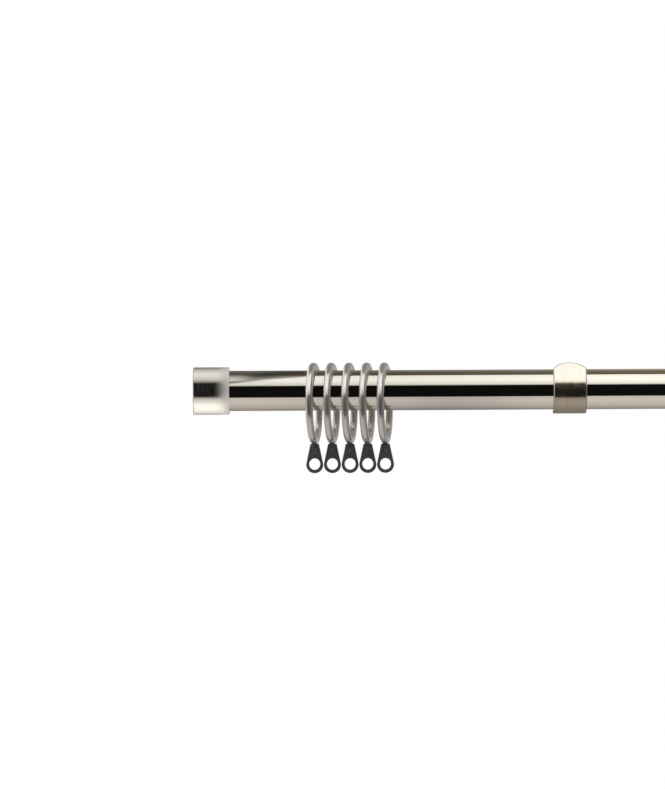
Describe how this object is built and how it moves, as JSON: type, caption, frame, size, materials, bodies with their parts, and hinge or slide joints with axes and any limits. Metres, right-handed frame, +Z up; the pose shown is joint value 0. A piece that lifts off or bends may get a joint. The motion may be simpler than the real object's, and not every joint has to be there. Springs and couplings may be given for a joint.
{
  "type": "extendable curtain rod",
  "caption": "Extendable curtain rod: a slim tube slides in a wider one, carried by hooked wall brackets, with cup end caps and rings that hang swivelling eyelets.",
  "frame": {"origin": "midway between the two screw holes of the left bracket, on the wall; the pole's centre line is at z = 0, 85 mm in front of the wall", "axes": "+X along the pole to the right, +Y into the wall, +Z up"},
  "size_m": [0.8, 0.1131, 0.0766],
  "materials": {
    "polished_nickel": "drawn and polished",
    "inner_nickel": "drawn and polished",
    "brushed_nickel": "brushed",
    "bracket_nickel": "satin",
    "ring_nickel": "satin",
    "rivet_nickel": "polished",
    "gunmetal": "dark satin",
    "guide_plastic": "moulded",
    "sleeve_plastic": "moulded",
    "screw_steel": "plated"
  },
  "bodies": {
    "wide_tube": {"outer_tube": "polished_nickel", "tube_mouth_bush": "guide_plastic", "left_bracket": "bracket_nickel", "left_clamp_screw": "screw_steel"},
    "slim_tube": {"inner_tube": "inner_nickel", "inner_tube_guide": "guide_plastic", "cap_sleeve": "sleeve_plastic"},
    "left_cap": {"left_end_cap": "brushed_nickel", "left_cap_screw": "screw_steel"},
    "right_cap": {"right_end_cap": "brushed_nickel", "right_cap_screw": "screw_steel"},
    "right_wall_bracket": {"right_bracket": "bracket_nickel", "right_clamp_screw": "screw_steel", "bracket_sleeve": "sleeve_plastic"},
    "ring_1": {"ring_1": "ring_nickel"},
    "eyelet_1": {"eyelet_1": "gunmetal", "eyelet_rivet_1": "rivet_nickel"},
    "ring_2": {"ring_2": "ring_nickel"},
    "eyelet_2": {"eyelet_2": "gunmetal", "eyelet_rivet_2": "rivet_nickel"},
    "ring_3": {"ring_3": "ring_nickel"},
    "eyelet_3": {"eyelet_3": "gunmetal", "eyelet_rivet_3": "rivet_nickel"},
    "ring_4": {"ring_4": "ring_nickel"},
    "eyelet_4": {"eyelet_4": "gunmetal", "eyelet_rivet_4": "rivet_nickel"},
    "ring_5": {"ring_5": "ring_nickel"},
    "eyelet_5": {"eyelet_5": "gunmetal", "eyelet_rivet_5": "rivet_nickel"}
  },
  "joints": [
    {"name": "pole_extension", "type": "slide", "parent": "wide_tube", "child": "slim_tube", "axis": [1, 0, 0], "range_m": [-0.1, 0.4]},
    {"name": "left_cap_pull", "type": "slide", "parent": "wide_tube", "child": "left_cap", "axis": [-1, 0, 0], "range_m": [0, 0.026]},
    {"name": "right_cap_pull", "type": "slide", "parent": "slim_tube", "child": "right_cap", "axis": [1, 0, 0], "range_m": [0, 0.026]},
    {"name": "right_bracket_slide", "type": "slide", "parent": "slim_tube", "child": "right_wall_bracket", "axis": [1, 0, 0], "range_m": [-0.02, 0.02]},
    {"name": "ring_1_slide", "type": "slide", "parent": "wide_tube", "child": "ring_1", "axis": [1, 0, 0], "range_m": [-0.05, 0.02]},
    {"name": "eyelet_1_swivel", "type": "hinge", "parent": "ring_1", "child": "eyelet_1", "pos_m": [-0.17691, -0.085, -0.03725], "axis": [0, 0, 1], "continuous": true},
    {"name": "ring_2_slide", "type": "slide", "parent": "ring_1", "child": "ring_2", "axis": [1, 0, 0], "range_m": [0, 0.022]},
    {"name": "eyelet_2_swivel", "type": "hinge", "parent": "ring_2", "child": "eyelet_2", "pos_m": [-0.16463, -0.085, -0.03725], "axis": [0, 0, 1], "continuous": true},
    {"name": "ring_3_slide", "type": "slide", "parent": "ring_2", "child": "ring_3", "axis": [1, 0, 0], "range_m": [0, 0.022]},
    {"name": "eyelet_3_swivel", "type": "hinge", "parent": "ring_3", "child": "eyelet_3", "pos_m": [-0.15235, -0.085, -0.03725], "axis": [0, 0, 1], "continuous": true},
    {"name": "ring_4_slide", "type": "slide", "parent": "ring_3", "child": "ring_4", "axis": [1, 0, 0], "range_m": [0, 0.022]},
    {"name": "eyelet_4_swivel", "type": "hinge", "parent": "ring_4", "child": "eyelet_4", "pos_m": [-0.14007, -0.085, -0.03725], "axis": [0, 0, 1], "continuous": true},
    {"name": "ring_5_slide", "type": "slide", "parent": "ring_4", "child": "ring_5", "axis": [1, 0, 0], "range_m": [0, 0.022]},
    {"name": "eyelet_5_swivel", "type": "hinge", "parent": "ring_5", "child": "eyelet_5", "pos_m": [-0.12779, -0.085, -0.03725], "axis": [0, 0, 1], "continuous": true}
  ]
}
